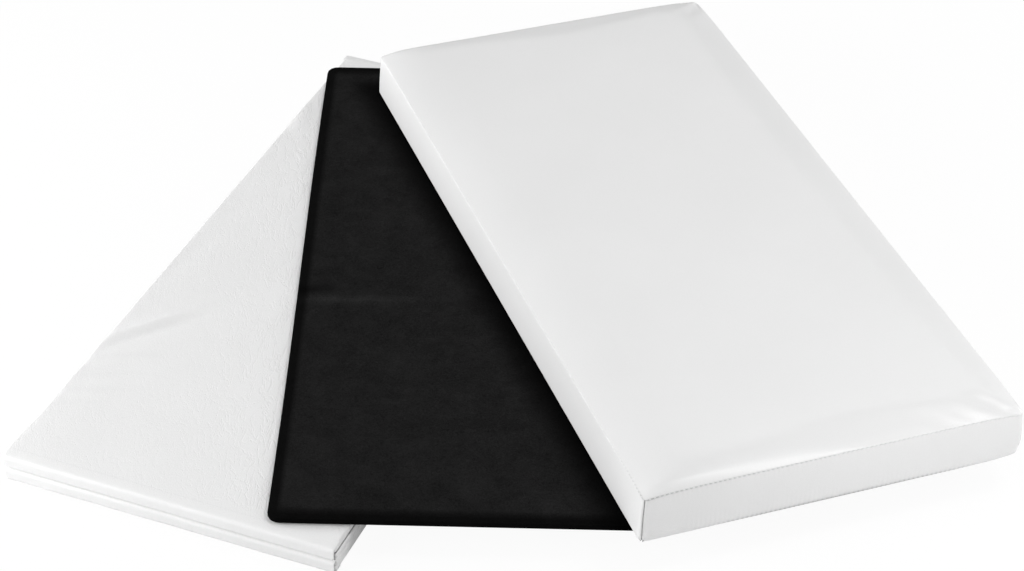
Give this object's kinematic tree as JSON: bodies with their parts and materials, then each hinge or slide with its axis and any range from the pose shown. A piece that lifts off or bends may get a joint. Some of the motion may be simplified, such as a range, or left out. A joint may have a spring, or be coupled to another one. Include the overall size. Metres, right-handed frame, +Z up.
{
  "type": "folding storage bench",
  "caption": "Padded storage bench laid out in three loose pieces: a box body folded flat, a cloth-covered bottom board and a cushioned lid.",
  "frame": {"origin": "centre of the folded box body's underside, where it lies on the floor", "axes": "+Z up, +Y along the long walls of the folded body, +X from the walls' standing edge to their rim"},
  "size_m": [0.8448, 0.9182, 0.0893],
  "materials": {
    "white_leather": "satin",
    "wall_lining": "matte",
    "black_cloth": "matte",
    "hardboard": "matte",
    "timber": "matte",
    "foam": "matte"
  },
  "bodies": {
    "back_wall": {"back_wall_cover": "white_leather", "back_wall_stiffener": "hardboard", "back_wall_lining": "wall_lining", "near_back_corner_strip": "white_leather", "far_back_corner_strip": "white_leather"},
    "near_end_lower_half": {"near_end_lower_cover": "white_leather", "near_end_lower_stiffener": "hardboard", "near_end_lower_lining": "wall_lining", "near_crease_strip": "white_leather"},
    "near_end_upper_half": {"near_end_upper_cover": "white_leather", "near_end_upper_stiffener": "hardboard", "near_end_upper_lining": "wall_lining"},
    "far_end_lower_half": {"far_end_lower_cover": "white_leather", "far_end_lower_stiffener": "hardboard", "far_end_lower_lining": "wall_lining", "far_crease_strip": "white_leather"},
    "far_end_upper_half": {"far_end_upper_cover": "white_leather", "far_end_upper_stiffener": "hardboard", "far_end_upper_lining": "wall_lining"},
    "front_wall": {"front_wall_cover": "white_leather", "front_wall_stiffener": "hardboard", "front_wall_lining": "wall_lining", "near_front_corner_strip": "white_leather", "far_front_corner_strip": "white_leather"},
    "bottom_board": {"board_sleeve_top": "black_cloth", "board_sleeve_under": "black_cloth", "board_core": "hardboard"},
    "lid": {"lid_side_left": "white_leather", "lid_side_right": "white_leather", "lid_side_near": "white_leather", "lid_side_far": "white_leather", "lid_top_cover": "white_leather", "lid_foam": "foam", "lid_deck": "timber", "lid_rail_left": "timber", "lid_rail_right": "timber", "lid_rail_near": "timber", "lid_rail_far": "timber", "lid_rib_1": "timber", "lid_rib_2": "timber", "lid_dust_cover": "black_cloth"}
  },
  "joints": [
    {"name": "unfold", "type": "hinge", "parent": "back_wall", "child": "far_end_lower_half", "pos_m": [0, 0.371, 0.00695], "axis": [-1, 0, 0], "range_deg": [0, 90]},
    {"name": "far_crease", "type": "hinge", "parent": "far_end_lower_half", "child": "far_end_upper_half", "pos_m": [0, 0.19715, 0.01405], "axis": [-1, 0, 0], "range_deg": [-180, 0]},
    {"name": "far_front_corner", "type": "hinge", "parent": "far_end_upper_half", "child": "front_wall", "pos_m": [0, 0.371, 0.02115], "axis": [-1, 0, 0], "range_deg": [0, 90]},
    {"name": "near_back_corner", "type": "hinge", "parent": "back_wall", "child": "near_end_lower_half", "pos_m": [0, -0.371, 0.00695], "axis": [1, 0, 0], "range_deg": [0, 90]},
    {"name": "near_front_corner", "type": "hinge", "parent": "front_wall", "child": "near_end_upper_half", "pos_m": [0, -0.371, 0.02115], "axis": [-1, 0, 0], "range_deg": [0, 90]},
    {"name": "board_lift", "type": "slide", "parent": "front_wall", "child": "bottom_board", "axis": [0, 0, 1], "range_m": [0, 0.15]},
    {"name": "lid_lift", "type": "slide", "parent": "bottom_board", "child": "lid", "axis": [0, 0, 1], "range_m": [0, 0.2]}
  ],
  "couplings": [
    {"joint": "far_crease", "follows": "unfold", "ratio": -2},
    {"joint": "far_front_corner", "follows": "unfold", "ratio": 1},
    {"joint": "near_back_corner", "follows": "unfold", "ratio": 1},
    {"joint": "near_front_corner", "follows": "unfold", "ratio": 1}
  ]
}
